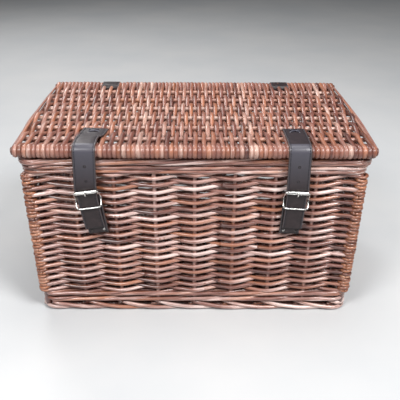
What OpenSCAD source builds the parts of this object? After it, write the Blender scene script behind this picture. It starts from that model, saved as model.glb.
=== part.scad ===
// Lidded willow hamper with leather hinge loops and two buckled front straps.
// Z is up, the front with the straps faces -Y, and the origin is the middle
// of the whole hamper's footprint, on the floor. Sizes are in millimetres.

/* [Hamper] */
// Lid width, left to right
lid_w = 510; // [480:5:540]
// Lid depth, front to rear
lid_d = 326; // [300:2:350]
// Height of the lid's top above the floor
lid_top = 280; // [264:2:296]
// How far the lid's edge stands out past the rim
overhang = 6; // [4:0.5:8]
// How far each end wall leans out between floor and rim
end_lean = 7.5; // [2:0.5:9]
// How far the front and rear walls lean out between floor and rim
face_lean = 5; // [2:0.5:7]

/* [Willow] */
// Upright stakes in the front wall and in the rear wall
long_stakes = 7; // [5:1:7]
// Spacing of those stakes at the floor
long_pitch = 56.5; // [48:0.5:60]
// Upright stakes in each end wall
end_stakes = 4; // [3:1:4]
// Spacing of the end stakes at the floor
end_pitch = 56; // [48:0.5:60]
// Stake diameter
stake_d = 6.5; // [5:0.5:7]
// Corner post diameter
post_d = 11; // [9:0.5:11.5]
// Thickness of the woven walls
wall_t = 14; // [12:0.5:15]
// Height of the foot border under the base
foot_h = 14; // [12:1:18]
// Height of the bottom waling
wale_h = 20; // [16:1:24]
// Height of the upper waling under the rim
top_wale_h = 12; // [10:0.5:14]
// Height of the rim border
rim_h = 12; // [10:0.5:14]

/* [Lid] */
// Lid thickness, which is also the thickness of its rounded edges
lid_t = 17.4; // [16:0.2:19]
// Diameter of the front, rear and side rods
edge_rod_d = 9; // [8:0.5:10]
// Number of cross sticks between the front and rear rods
cross_sticks = 6; // [4:1:6]
// Spacing of the cross sticks, counted from the front rod
stick_pitch = 46; // [42:0.5:50]
// Cross stick diameter
stick_d = 8; // [6:0.5:9]

/* [Straps] */
// Distance of each strap from the middle of the hamper
strap_x = 152; // [130:1:165]
// How much nearer the middle the right strap was fitted
strap_shift = 7; // [0:1:12]
// Strap width
strap_w = 32; // [26:1:33]
// Strap thickness
strap_t = 2.4; // [2:0.1:2.6]
// Length of the tab that lies on the lid
tab_len = 76; // [60:1:90]
// Depth of the buckle bar below the lid's front rod
buckle_drop = 70; // [64:1:80]
// Length of strap below the buckle bar
tail_len = 48; // [36:1:49]
// Turn of the left buckle and strap tail, seen from the front
turn_left = -8; // [-8:1:4]
// Turn of the right buckle and strap tail, seen from the front
turn_right = 3; // [-4:1:8]
// Width of the leather hinge loops at the rear
loop_w = 30; // [24:1:36]

/* [Hidden] */
$fn = 48;
// play left between solids that only rest against each other
gap = 0.3;
// radial play of a willow rod in the weave around it
rod_play = 0.1;
// radial play of a wire pivot
pin_play = 0.08;
// keeps the seams of leaning rods off the wall's own planes
seam_turn = 33;

// heights of the bands, from the floor up
wale_z = foot_h + 0.2;
wall_z = wale_z + wale_h + 0.2;
rim_top = lid_top - lid_t - 0.4;
rim_z = rim_top - rim_h;
top_wale_z = rim_z - 0.2 - top_wale_h;
wall_top = top_wale_z - 0.2;
// blind ends of the stakes, inside the foot and the rim
stake_z0 = 4.3;
stake_z1 = rim_top - 6.3;

// ring thicknesses and corner roundings
foot_t = 19;
wale_t = 17;
rim_t = 20;
top_wale_t = 18;
corner_round = 3.5;
// the wall's weave laps round the corner posts this thick
post_wrap_d = post_d + 9;
// spare length of a cutting shape
spare = 6;

// middle of the wall at the rim and at the floor
rim_mid_x = lid_w / 2 - overhang - rim_t / 2;
rim_mid_y = lid_d / 2 - overhang - rim_t / 2;
function mid_x(z) = rim_mid_x - end_lean * (1 - z / rim_top);
function mid_y(z) = rim_mid_y - face_lean * (1 - z / rim_top);
face_tilt = atan2(face_lean, rim_top);

// lid: its rods lie on the mid plane, at the centre of the rounded edges
lid_r = lid_t / 2;
lid_z = lid_top - lid_r;
rod_y = lid_d / 2 - lid_r;
weave_half = lid_w / 2 - edge_rod_d - 1.2;

// base: a woven panel on thick sticks, standing on the foot border
base_t = 16;
base_stick_d = 9;
base_sticks_n = 7;
// from the base's long edge to its first stick
base_margin = 20;

// leather and wire sizes
wrap_gap = 0.3;
bend_r = lid_r + wrap_gap;
// flats that stand for the bend of the strap
bend_steps = 16;
// the tail is thinner than the strap by this hair on each face
skin = 0.05;
tail_w = 29;
tail_lap = 10;
chape_w = 29;
chape_t = 1.8;
chape_len = 60;
bar_d = 2.5;
wire_d = 2.6;
roller_bar_d = 3;
roller_d = 5.8;
roller_len = 33.6;
tongue_d = 2;
// bends of the wire are beads a little fatter than the wire
bead_extra = 0.3;
rivet_head_d = 5;
rivet_head_h = 0.8;
rivet_d = 2.8;
rivet_x = 9;
rivet_drop = 54;
washer_d = 10;
stitch_d = 1.4;
stitch_len = 18;
thread_lift = 0.2;
washer_t = 1.2;
// each chape sits a little nearer the hamper's middle than its strap
chape_shift = 3;
// play between the two plies of a chape
ply_gap = 0.05;
// window in the fold of the chape for the tongue's eye
eye_slot_w = 5.2;
eye_slot_h = 8.6;
hole_d = 4;
// punched holes above the buckle, below the lid's front rod
hole_drops = [18, 41];

// buckle, in its own frame: up the strap and out from the hamper
fold_r = bar_d / 2 + pin_play + 0.02;
strap_back = fold_r + chape_t + 0.25;
strap_front = strap_back + strap_t;
roller_up = 13;
roller_out = strap_front + gap + roller_d / 2;
keeper_down = 13;
keeper_out = strap_front + 1.8 + wire_d / 2;
frame_half_top = 18.6;
frame_half_low = 19.4;
wall_gap = fold_r + chape_t + 0.35;

// the strap leans just enough to bring the buckle bar against the wall
wall_face = mid_y(lid_z - buckle_drop) + wall_t / 2;
bar_in = bend_r - strap_back;
bar_reach = rod_y - wall_face - wall_gap;
strap_lean = atan2(bar_in, buckle_drop) + asin(bar_reach / norm([bar_in, buckle_drop]));

// tongue: eye on the bar, then a bent prong that rests on the roller
tongue_knee = [9.5, roller_out + 3.6];
tongue_tip = [14.5, roller_out + 4.6];

// rear loops: outside of the closed leather band
loop_t = 2.2;
loop_round = 6;
loop_top = lid_top + gap + loop_t;
loop_rear = rod_y + lid_r + gap + loop_t;
loop_low = wall_top - 1.2 - loop_t;
loop_front = rim_mid_y - rim_t / 2 - gap - loop_t - 0.6;

// the origin is the middle of the footprint, so the basket sits a little to
// the rear of it: the tongues reach further forward than the loops do back
front_reach = rod_y + (bar_in + tongue_tip[1]) * cos(strap_lean) + tongue_d / 2 + 0.15
    - (buckle_drop - tongue_tip[0]) * sin(strap_lean);
yc = (front_reach - loop_rear) / 2;

straps = [[-strap_x, turn_left], [strap_x - strap_shift, turn_right]];
loops = [[-strap_x, 0], [strap_x, 0]];

willow = [0.5, 0.25, 0.13];
willow_dark = [0.4, 0.19, 0.1];
hide = [0.14, 0.1, 0.09];
steel = [0.82, 0.83, 0.85];
thread = [0.1, 0.09, 0.12];

// ---------- shapes used more than once ----------

// round rod from point a to point b
module rod(a, b, d) {
    v = b - a;
    translate(a)
        rotate([0, acos(v.z / norm(v)), atan2(v.y, v.x)])
            rotate(seam_turn)
                cylinder(h = norm(v), d = d);
}

// round rod along X, centred on x = 0
module cross_rod(len, d, y, z) {
    translate([-len / 2, y, z])
        rotate([0, 90, 0])
            cylinder(h = len, d = d);
}

module rounded_rect(hx, hy, r) {
    square([2 * (hx - r), 2 * hy], center = true);
    square([2 * hx, 2 * (hy - r)], center = true);
    for (sx = [-1, 1], sy = [-1, 1])
        translate([sx * (hx - r), sy * (hy - r)])
            circle(r);
}

// level band of weave that goes right round the basket
module band(z0, h, t) {
    hx = mid_x(z0 + h / 2);
    hy = mid_y(z0 + h / 2);
    translate([0, yc, z0])
        linear_extrude(height = h)
            difference() {
                rounded_rect(hx + t / 2, hy + t / 2, t / 2 + corner_round);
                rounded_rect(hx - t / 2, hy - t / 2, corner_round);
            }
}

// extrudes a (y, z) outline along X, centred on x = 0
module side_extrude(w) {
    rotate([90, 0, 90])
        linear_extrude(height = w, center = true)
            children();
}

// point p of an outline, turned about its origin
function turned(p, a) = [p.x * cos(a) - p.y * sin(a), p.x * sin(a) + p.y * cos(a)];

// point i of the strap's bend over the lid's front rod, at radius r
function on_bend(r, i) =
    let (a = 180 - (90 + strap_lean) * i / bend_steps)
    r * [cos(a), sin(a)];

// point on the corner post at height z
function post_at(sx, sy, z) = [sx * mid_x(z), yc + sy * mid_y(z), z];

// point on stake i at height z; sides are 0 front, 1 right, 2 rear, 3 left
function stake_at(side, i, z) =
    side % 2 == 0
    ? [(i - (long_stakes - 1) / 2) * long_pitch * mid_x(z) / mid_x(0),
       yc + (side - 1) * mid_y(z), z]
    : [(2 - side) * mid_x(z),
       yc + (i - (end_stakes - 1) / 2) * end_pitch * mid_y(z) / mid_y(0), z];

module stakes(side, d, z0, z1) {
    count = side % 2 == 0 ? long_stakes : end_stakes;
    for (i = [0:count - 1])
        rod(stake_at(side, i, z0), stake_at(side, i, z1), d);
}

module posts(d, z0, z1) {
    for (sx = [-1, 1], sy = [-1, 1])
        rod(post_at(sx, sy, z0), post_at(sx, sy, z1), d);
}

// holes that the stakes and posts leave in the weave, blind at both ends
module upright_bores(z0 = stake_z0 - gap, z1 = stake_z1 + gap) {
    for (side = [0:3])
        stakes(side, stake_d + 2 * rod_play, z0, z1);
    posts(post_d + 2 * rod_play, z0, z1);
}

// ---------- woven body ----------

// one leaning wall, seen from outside; ends are hollowed for the post wraps
module wall(side) {
    long = side % 2 == 0;
    half0 = long ? mid_x(0) : mid_y(0);
    half1 = long ? mid_x(rim_top) : mid_y(rim_top);
    dist = long ? mid_y(0) : mid_x(0);
    tilt = long ? face_tilt : atan2(end_lean, rim_top);
    slope = rim_top / cos(tilt);
    intersection() {
        difference() {
            translate([0, yc, 0])
                rotate([0, 0, 90 * side])
                    translate([0, -dist, 0])
                        rotate([90 + tilt, 0, 0])
                            linear_extrude(height = wall_t, center = true)
                                polygon([[-half0, 0], [half0, 0],
                                    [half1, slope], [-half1, slope]]);
            stakes(side, stake_d + 2 * rod_play, wall_z - spare, wall_top + spare);
            posts(post_wrap_d + 2 * gap, wall_z - spare, wall_top + spare);
        }
        translate([-lid_w / 2, yc - lid_d / 2, wall_z])
            cube([lid_w, lid_d, wall_top - wall_z]);
    }
}

module foot_border() {
    color(willow)
        difference() {
            band(0, foot_h, foot_t);
            upright_bores();
        }
}

module bottom_wale() {
    color(willow)
        difference() {
            band(wale_z, wale_h, wale_t);
            upright_bores();
        }
}

module top_wale() {
    color(willow)
        difference() {
            band(top_wale_z, top_wale_h, top_wale_t);
            upright_bores();
        }
}

module rim_border() {
    color(willow)
        difference() {
            band(rim_z, rim_h, rim_t);
            upright_bores();
        }
}

module base_stick_rods(d, extra) {
    half = mid_x(wale_z) - wale_t / 2 - gap;
    span = 2 * (mid_y(wale_z) - wale_t / 2 - base_margin);
    translate([0, yc, 0])
        for (i = [0:base_sticks_n - 1])
            cross_rod(2 * half + extra, d,
                span * (i / (base_sticks_n - 1) - 0.5), wale_z + base_t / 2);
}

module base_weave() {
    hx = mid_x(wale_z) - wale_t / 2 - gap;
    hy = mid_y(wale_z) - wale_t / 2 - gap;
    color(willow)
        difference() {
            translate([0, yc, wale_z])
                linear_extrude(height = base_t)
                    rounded_rect(hx, hy, corner_round);
            base_stick_rods(base_stick_d + 2 * rod_play, 2);
        }
}

module base_sticks() {
    color(willow_dark)
        base_stick_rods(base_stick_d, -1);
}

module corner_posts() {
    color(willow_dark)
        posts(post_d, stake_z0, stake_z1);
}

module corner_wraps() {
    color(willow)
        intersection() {
            difference() {
                posts(post_wrap_d, 0, rim_top);
                posts(post_d + 2 * rod_play, 0, rim_top);
            }
            translate([-lid_w / 2, yc - lid_d / 2, wall_z])
                cube([lid_w, lid_d, wall_top - wall_z]);
        }
}

module front_stakes() {
    color(willow_dark)
        stakes(0, stake_d, stake_z0, stake_z1);
}

module right_stakes() {
    color(willow_dark)
        stakes(1, stake_d, stake_z0, stake_z1);
}

module rear_stakes() {
    color(willow_dark)
        stakes(2, stake_d, stake_z0, stake_z1);
}

module left_stakes() {
    color(willow_dark)
        stakes(3, stake_d, stake_z0, stake_z1);
}

module front_weave() {
    color(willow)
        difference() {
            wall(0);
            for (s = straps)
                chape_frame(s)
                    rivet_shanks(rivet_d + 2 * rod_play);
        }
}

module right_weave() {
    color(willow)
        wall(1);
}

// the rear wall has a notch under the rim for each hinge loop
module rear_weave() {
    color(willow)
        difference() {
            wall(2);
            for (s = loops)
                translate([s[0], yc + rim_mid_y, wall_top])
                    cube([loop_w + 1, 3 * wall_t, 2 * (wall_top - loop_low + gap)],
                        center = true);
        }
}

module left_weave() {
    color(willow)
        wall(3);
}

// ---------- rear hinge loops ----------

// closed leather band through the lid and under the rim, grown on every face
module loop_band(s, w, grow) {
    hy = (loop_rear - loop_front) / 2;
    hz = (loop_top - loop_low) / 2;
    translate([s[0], yc + loop_front + hy, loop_low + hz])
        side_extrude(w)
            difference() {
                rounded_rect(hy + grow, hz + grow, loop_round + grow);
                rounded_rect(hy - loop_t - grow, hz - loop_t - grow,
                    loop_round - loop_t - grow);
            }
}

module hinge_loop(s) {
    color(hide)
        loop_band(s, loop_w, 0);
}

module hinge_loop_left() {
    hinge_loop(loops[0]);
}

module hinge_loop_right() {
    hinge_loop(loops[1]);
}

// ---------- lid ----------

module lid_weave() {
    color(willow)
        difference() {
            union() {
                translate([-weave_half, yc - rod_y, lid_z - lid_r])
                    cube([2 * weave_half, 2 * rod_y, lid_t]);
                for (sy = [-1, 1])
                    cross_rod(2 * weave_half, lid_t, yc + sy * rod_y, lid_z);
            }
            for (sy = [-1, 1])
                cross_rod(lid_w, edge_rod_d + 2 * rod_play, yc + sy * rod_y, lid_z);
            for (i = [1:cross_sticks])
                cross_rod(lid_w, stick_d + 2 * rod_play,
                    yc - rod_y + i * stick_pitch, lid_z);
            for (s = loops)
                loop_band(s, loop_w + 1, gap - skin);
        }
}

module lid_sticks() {
    color(willow_dark)
        for (i = [1:cross_sticks])
            cross_rod(2 * weave_half, stick_d, yc - rod_y + i * stick_pitch, lid_z);
}

module lid_front_rod() {
    color(willow_dark)
        cross_rod(lid_w, edge_rod_d, yc - rod_y, lid_z);
}

module lid_rear_rod() {
    color(willow_dark)
        cross_rod(lid_w, edge_rod_d, yc + rod_y, lid_z);
}

module lid_side_rods() {
    reach = rod_y - edge_rod_d / 2 - gap;
    x = lid_w / 2 - edge_rod_d / 2;
    color(willow_dark)
        for (sx = [-1, 1])
            rod([sx * x, yc - reach, lid_z], [sx * x, yc + reach, lid_z], edge_rod_d);
}

// a cross of waxed thread holds each strap's tab down on the lid
module tab_stitches() {
    inset = 16;
    color(thread)
        for (s = straps)
            translate([s[0], yc - rod_y + tab_len - inset,
                    lid_z + bend_r + strap_t + stitch_d / 2 + thread_lift])
                for (a = [30, 150])
                    rotate([0, 0, a])
                        rotate([0, 90, 0])
                            cylinder(h = stitch_len, d = stitch_d, center = true);
}

// ---------- straps and buckles ----------

// frame of the hanging strap: its origin is on the lid's front rod
module strap_frame(s) {
    translate([s[0], yc - rod_y, lid_z])
        rotate([strap_lean, 0, 0])
            children();
}

// frame of the buckle: bar along X, strap up along Z, hamper's outside at -Y
module buckle_frame(s) {
    strap_frame(s)
        translate([0, -bar_in, -buckle_drop])
            rotate([0, s[1], 0])
                children();
}

// the same place, but leaning with the wall
module chape_frame(s) {
    strap_frame(s)
        translate([0, -bar_in, -buckle_drop])
            rotate([face_tilt - strap_lean, 0, 0])
                rotate([0, s[1], 0])
                    translate([-sign(s[0]) * chape_shift, 0, 0])
                        children();
}

// oblong hole in the strap for the tongue
module tongue_slot() {
    slot_low = -3.3;
    slot_high = 4.9;
    slot_w = tongue_d + 1;
    translate([0, -strap_front / 2, 0])
        rotate([90, 0, 0])
            linear_extrude(height = 2 * strap_front, center = true) {
                translate([-slot_w / 2, slot_low])
                    square([slot_w, slot_high - slot_low]);
                for (z = [slot_low, slot_high])
                    translate([0, z])
                        circle(d = slot_w);
            }
}

// outline of the strap in its frame: down the front, over the bend, along the lid
function strap_outline(inner, outer) = [
    [-outer, -buckle_drop],
    for (i = [0:bend_steps]) on_bend(outer, i),
    turned([tab_len, outer], -strap_lean),
    turned([tab_len, inner], -strap_lean),
    for (i = [0:bend_steps]) on_bend(inner, bend_steps - i),
    [-inner, -buckle_drop]];

module strap(s) {
    color(hide)
        difference() {
            union() {
                strap_frame(s)
                    side_extrude(strap_w)
                        polygon(strap_outline(bend_r, bend_r + strap_t));
                buckle_frame(s)
                    translate([-tail_w / 2, skin - strap_front, -tail_len])
                        cube([tail_w, strap_t - 2 * skin, tail_len + tail_lap]);
            }
            buckle_frame(s)
                tongue_slot();
            strap_frame(s)
                for (drop = hole_drops)
                    translate([0, -bend_r, -drop])
                        rotate([90, 0, 0])
                            cylinder(h = 4 * strap_t, d = hole_d, center = true);
        }
}

module strap_left() {
    strap(straps[0]);
}

module strap_right() {
    strap(straps[1]);
}

module rivet_shanks(d) {
    for (x = [-rivet_x, rivet_x])
        translate([x, 0, -rivet_drop])
            rotate([90, 0, 0])
                cylinder(h = 4 * wall_t, d = d, center = true);
}

// leather folded over the buckle bar; both plies are riveted to the wall
module chape(s) {
    join = 14;
    lap = 0.8;
    inner = fold_r;
    outer = fold_r + chape_t;
    middle = fold_r + chape_t / 2;
    low_front = -outer + 2 * chape_t + ply_gap;
    color(hide)
        chape_frame(s)
            difference() {
                union() {
                    side_extrude(chape_w)
                        intersection() {
                            difference() {
                                circle(outer);
                                circle(inner);
                            }
                            translate([-outer, 0])
                                square([2 * outer, outer]);
                        }
                    side_extrude(chape_w)
                        polygon([[outer, 0], [outer, -chape_len],
                            [-low_front, -chape_len], [-low_front, -join], [-outer, 0],
                            [-middle, lap], [-inner, 0], [inner - ply_gap, -join],
                            [inner, 0], [middle, lap]]);
                }
                translate([chape_shift * sign(s[0]), 0, 0])
                    cube([eye_slot_w, 4 * outer, eye_slot_h], center = true);
                for (x = [-rivet_x, rivet_x])
                    translate([x, 0, -rivet_drop])
                        rotate([90, 0, 0])
                            cylinder(h = 4 * outer, d = rivet_d + 2 * rod_play, center = true);
            }
}

module chape_left() {
    chape(straps[0]);
}

module chape_right() {
    chape(straps[1]);
}

// two rivets per chape: head outside, shank through the wall, washer inside
module chape_rivets() {
    front = 2 * chape_t + ply_gap - (fold_r + chape_t) + ply_gap;
    inside = wall_gap + wall_t + gap;
    color(steel)
        for (s = straps, x = [-rivet_x, rivet_x])
            chape_frame(s)
                translate([x, 0, -rivet_drop]) {
                    translate([0, -front, 0])
                        rotate([90, 0, 0])
                            cylinder(h = rivet_head_h, d = rivet_head_d);
                    translate([0, -front, 0])
                        rotate([-90, 0, 0])
                            cylinder(h = inside + front, d = rivet_d);
                    translate([0, inside, 0])
                        rotate([-90, 0, 0])
                            cylinder(h = washer_t, d = washer_d);
                }
}

// point in the buckle frame: across, up the strap, out from the hamper
function at(across, up, out) = [across, -out, up];

// bent wire frame: roller bar, centre bar and the keeper bar below
module buckle_wire(s) {
    color(steel)
        buckle_frame(s) {
            rod(at(-frame_half_top, roller_up, roller_out),
                at(frame_half_top, roller_up, roller_out), roller_bar_d);
            rod(at(-frame_half_low, 0, 0), at(frame_half_low, 0, 0), bar_d);
            rod(at(-frame_half_low, -keeper_down, keeper_out),
                at(frame_half_low, -keeper_down, keeper_out), wire_d);
            for (side = [-1, 1]) {
                rod(at(side * frame_half_top, roller_up, roller_out),
                    at(side * frame_half_low, 0, 0), wire_d);
                rod(at(side * frame_half_low, 0, 0),
                    at(side * frame_half_low, -keeper_down, keeper_out), wire_d);
                translate(at(side * frame_half_top, roller_up, roller_out))
                    sphere(d = roller_bar_d + bead_extra);
                translate(at(side * frame_half_low, 0, 0))
                    sphere(d = wire_d + bead_extra);
                translate(at(side * frame_half_low, -keeper_down, keeper_out))
                    sphere(d = wire_d + bead_extra);
            }
        }
}

module buckle_frame_left() {
    buckle_wire(straps[0]);
}

module buckle_frame_right() {
    buckle_wire(straps[1]);
}

module roller(s) {
    color(steel)
        buckle_frame(s)
            translate(at(-roller_len / 2, roller_up, roller_out))
                rotate([0, 90, 0])
                    difference() {
                        cylinder(h = roller_len, d = roller_d);
                        translate([0, 0, -1])
                            cylinder(h = roller_len + 2, d = roller_bar_d + 2 * pin_play);
                    }
}

module roller_left() {
    roller(straps[0]);
}

module roller_right() {
    roller(straps[1]);
}

module tongue(s) {
    eye_w = 2.4;
    eye_d = bar_d + 2.6;
    root = 1.95 * tongue_knee / norm(tongue_knee);
    color(steel)
        buckle_frame(s) {
            difference() {
                cross_rod(eye_w, eye_d, 0, 0);
                cross_rod(2 * eye_w, bar_d + 2 * pin_play, 0, 0);
            }
            rod(at(0, root[0], root[1]), at(0, tongue_knee[0], tongue_knee[1]), tongue_d);
            rod(at(0, tongue_knee[0], tongue_knee[1]),
                at(0, tongue_tip[0], tongue_tip[1]), tongue_d);
            for (p = [tongue_knee, tongue_tip])
                translate(at(0, p[0], p[1]))
                    sphere(d = tongue_d + bead_extra);
        }
}

module tongue_left() {
    tongue(straps[0]);
}

module tongue_right() {
    tongue(straps[1]);
}

foot_border();
bottom_wale();
base_weave();
base_sticks();
corner_posts();
corner_wraps();
front_stakes();
rear_stakes();
left_stakes();
right_stakes();
front_weave();
rear_weave();
left_weave();
right_weave();
top_wale();
rim_border();
hinge_loop_left();
hinge_loop_right();
chape_left();
chape_right();
chape_rivets();
lid_weave();
lid_sticks();
lid_front_rod();
lid_rear_rod();
lid_side_rods();
tab_stitches();
strap_left();
strap_right();
buckle_frame_left();
buckle_frame_right();
roller_left();
roller_right();
tongue_left();
tongue_right();
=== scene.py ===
import math

import bpy
import numpy as np
from mathutils import Matrix, Vector


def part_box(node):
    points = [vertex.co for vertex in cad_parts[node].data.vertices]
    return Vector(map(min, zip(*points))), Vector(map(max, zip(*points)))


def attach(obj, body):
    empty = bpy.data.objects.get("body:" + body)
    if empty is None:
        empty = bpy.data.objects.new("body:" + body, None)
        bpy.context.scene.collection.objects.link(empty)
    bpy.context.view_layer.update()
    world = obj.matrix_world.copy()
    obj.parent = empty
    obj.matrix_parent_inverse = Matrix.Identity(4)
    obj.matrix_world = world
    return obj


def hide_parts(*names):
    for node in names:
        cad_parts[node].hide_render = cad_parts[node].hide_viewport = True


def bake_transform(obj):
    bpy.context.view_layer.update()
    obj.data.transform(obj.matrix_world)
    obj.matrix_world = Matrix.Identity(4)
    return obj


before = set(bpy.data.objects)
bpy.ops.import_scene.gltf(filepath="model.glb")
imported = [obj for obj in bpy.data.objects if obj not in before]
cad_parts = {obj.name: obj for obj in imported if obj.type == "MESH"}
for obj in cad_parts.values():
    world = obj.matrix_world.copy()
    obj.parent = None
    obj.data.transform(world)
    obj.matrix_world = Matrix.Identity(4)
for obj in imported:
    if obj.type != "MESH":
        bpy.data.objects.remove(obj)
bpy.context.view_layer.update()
rng = np.random.default_rng(41)

MM = 0.001
PI = math.pi

# ---------- sizes in millimetres, in the frame's own coordinates ----------


def box(node):
    """Low and high corner of a CAD piece."""
    return np.array(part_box(node)) / MM


def centre(node):
    low, high = np.array(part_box(node))
    return (low + high) / 2 / MM


def top(node):
    return box(node)[1][2]


def bottom(node):
    return box(node)[0][2]


FRONT_ROD = centre("lid_front_rod")
REAR_ROD = centre("lid_rear_rod")
YC = (FRONT_ROD[1] + REAR_ROD[1]) / 2
ROD_Y = (REAR_ROD[1] - FRONT_ROD[1]) / 2
LID_Z = FRONT_ROD[2]
LID_R = 8.7
LID_HALF_X = 255.0
RIM_TOP = top("rim_border")
RIM_LOW = bottom("rim_border")
WALL_LOW = bottom("front_weave")
WALL_TOP = top("front_weave")
RIM_MID = (239.0, 147.0)
LEAN = (7.5, 5.0)
# left is side -1 and right is side 1; the right strap was fitted a little nearer the middle
STRAP_AT = {-1: -152.0, 1: 145.0}
LOOP_X = 152.0
STRAP_W = 32.0
LOOP_W = 30.0
LOOP_T = 2.2
CHAPE_W = 29.0
STRAP_LEAN = math.radians(2.9103)
BUCKLE_DROP = 70.0
BUCKLE_TURN = {-1: math.radians(-8), 1: math.radians(3)}
BEND_R = LID_R + 0.3
STRAP_T = 2.4
FOLD_R = 1.35
CHAPE_T = 1.8
STRAP_BACK = FOLD_R + CHAPE_T + 0.25
STRAP_FRONT = STRAP_BACK + STRAP_T
BAR_IN = BEND_R - STRAP_BACK
FACE_TILT = math.atan2(LEAN[1], RIM_TOP)


def mid(z):
    """Half the basket's length and depth, to the middle of the wall, at height z."""
    k = 1 - z / RIM_TOP
    return RIM_MID[0] - LEAN[0] * k, RIM_MID[1] - LEAN[1] * k


# ---------- mesh tools ----------

NO_CORNER = -10**9


def xyz(x, y, z):
    """Points from three coordinates; a single number serves every point."""
    return np.stack(np.broadcast_arrays(x, y, z), -1)


def per_point(value, n):
    return np.broadcast_to(np.asarray(value, float), n)


def into_scene(name, data):
    made = bpy.data.objects.new(name, data)
    bpy.context.scene.collection.objects.link(made)
    return made


class Mesh:
    """Collects strands and shells, then makes one mesh object of them."""

    def __init__(self):
        self.points, self.faces = [], []
        self.tones, self.lays = [], []
        self.count = 0
        self.strands = 0

    def add(self, points, faces, tones, lays):
        self.points.append(points.reshape(-1, 3))
        self.faces.append(faces + self.count)
        self.tones.append(tones.ravel())
        self.lays.append(lays.reshape(-1, 3))
        self.count += len(self.points[-1])

    def tube(self, path, rings, tones, lays, closed=False, flip=False):
        """Adds rings of points along a path, with its ends capped unless it is closed."""
        n, sides = rings.shape[:2]
        faces = quads(n, sides, closed)
        faces = faces[:, ::-1] if flip else faces
        points, tones, lays = rings.reshape(-1, 3), tones.ravel(), lays.reshape(-1, 3)
        if not closed:
            points = np.concatenate([points, path[[0, -1]]])
            tones = np.concatenate([tones, tones[[0, -1]]])
            lays = np.concatenate([lays, lays[[0, -1]]])
            faces = np.concatenate([faces, fan_caps(n, sides, flip)])
        self.add(points, faces, tones, lays)

    def object(self, name, material):
        points = np.concatenate(self.points) * MM
        faces = np.concatenate(self.faces)
        tri = faces[:, 3] < 0
        data = bpy.data.meshes.new(name)
        sizes = np.where(tri, 3, 4)
        starts = np.concatenate([[0], np.cumsum(sizes)[:-1]])
        corners = faces[faces >= 0]
        data.vertices.add(len(points))
        data.vertices.foreach_set("co", points.astype(np.float32).ravel())
        data.loops.add(len(corners))
        data.loops.foreach_set("vertex_index", corners.astype(np.int32))
        data.polygons.add(len(faces))
        data.polygons.foreach_set("loop_start", starts.astype(np.int32))
        data.polygons.foreach_set("use_smooth", np.ones(len(faces), bool))
        data.update(calc_edges=True)
        data.validate()
        tone = data.attributes.new("tone", "FLOAT", "POINT")
        tone.data.foreach_set("value", np.concatenate(self.tones).astype(np.float32))
        lay = data.attributes.new("lay", "FLOAT_VECTOR", "POINT")
        lay.data.foreach_set("vector", np.concatenate(self.lays).astype(np.float32).ravel())
        data.materials.append(material)
        return into_scene(name, data)


def quads(rings, sides, closed=False):
    """Faces between rings of points; a closed path joins the last ring to the first."""
    i, j = np.meshgrid(np.arange(rings if closed else rings - 1), np.arange(sides), indexing="ij")
    i, j = i.ravel(), j.ravel()
    i2, j2 = (i + 1) % rings, (j + 1) % sides
    return np.stack([i * sides + j, i * sides + j2, i2 * sides + j2, i2 * sides + j], 1)


def fan_caps(rings, sides, flip=False):
    """Triangles from two added centre points to the first and the last ring."""
    j = np.arange(sides)
    j2 = (j + 1) % sides
    if flip:
        j, j2 = j2, j
    none = np.full(sides, NO_CORNER)
    base = (rings - 1) * sides
    first = np.stack([np.full(sides, rings * sides), j2, j, none], 1)
    final = np.stack([np.full(sides, rings * sides + 1), base + j, base + j2, none], 1)
    return np.concatenate([first, final])


def unit(rows):
    return rows / np.linalg.norm(rows, axis=1, keepdims=True)


def tangents(path, closed=False):
    """Unit direction of a path at each of its points."""
    if closed:
        return unit(np.roll(path, -1, 0) - np.roll(path, 1, 0))
    return unit(np.gradient(path, axis=0))


def distance_along(path):
    """Length of a path up to each of its points."""
    step = np.linalg.norm(np.diff(path, axis=0), axis=1)
    return np.concatenate([[0], np.cumsum(step)])


def strand(mesh, path, radius, tone, axis=(0, 0, 1), sides=8, flat=1.0, closed=False):
    """Sweeps a round rod along a path. Flat scales it along its normal, the way of the axis."""
    path = np.asarray(path, float)
    axis = np.asarray(axis, float)
    n = len(path)
    radius = per_point(radius, n)[:, None, None]
    ahead = tangents(path, closed)
    normal = unit(axis - (ahead @ axis)[:, None] * ahead)
    side = np.cross(ahead, normal)
    turn = np.arange(sides) * 2 * PI / sides
    flat = per_point(flat, n)[:, None, None]
    ring = np.cos(turn)[None, :, None] * normal[:, None] * flat
    ring = ring + np.sin(turn)[None, :, None] * side[:, None]
    # each strand starts at its own place in the willow's pattern
    mesh.strands += 1
    along = distance_along(path) / 40 + 7.31 * mesh.strands
    lay = xyz(0.5 * np.cos(turn), 0.5 * np.sin(turn), along[:, None])
    tones = np.repeat(per_point(tone, n), sides)
    mesh.tube(path, path[:, None] + radius * ring, tones, lay, closed)


def smooth_path(path, passes=2):
    """Rounds the kinks of an open path and leaves its ends."""
    path = np.array(path, float)
    for _ in range(passes):
        path[1:-1] = 0.25 * path[:-2] + 0.5 * path[1:-1] + 0.25 * path[2:]
    return path


def through(points, per_span=6):
    """Catmull-Rom curve through the points."""
    p = np.asarray(points, float)
    p = np.concatenate([[2 * p[0] - p[1]], p, [2 * p[-1] - p[-2]]])
    out = []
    for a, b, c, d in zip(p[:-3], p[1:-2], p[2:-1], p[3:]):
        for t in np.arange(per_span) / per_span:
            out.append(0.5 * (2 * b + (c - a) * t + (2 * a - 5 * b + 4 * c - d) * t ** 2
                              + (3 * b - a - 3 * c + d) * t ** 3))
    out.append(p[-2])
    return np.array(out)


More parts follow.
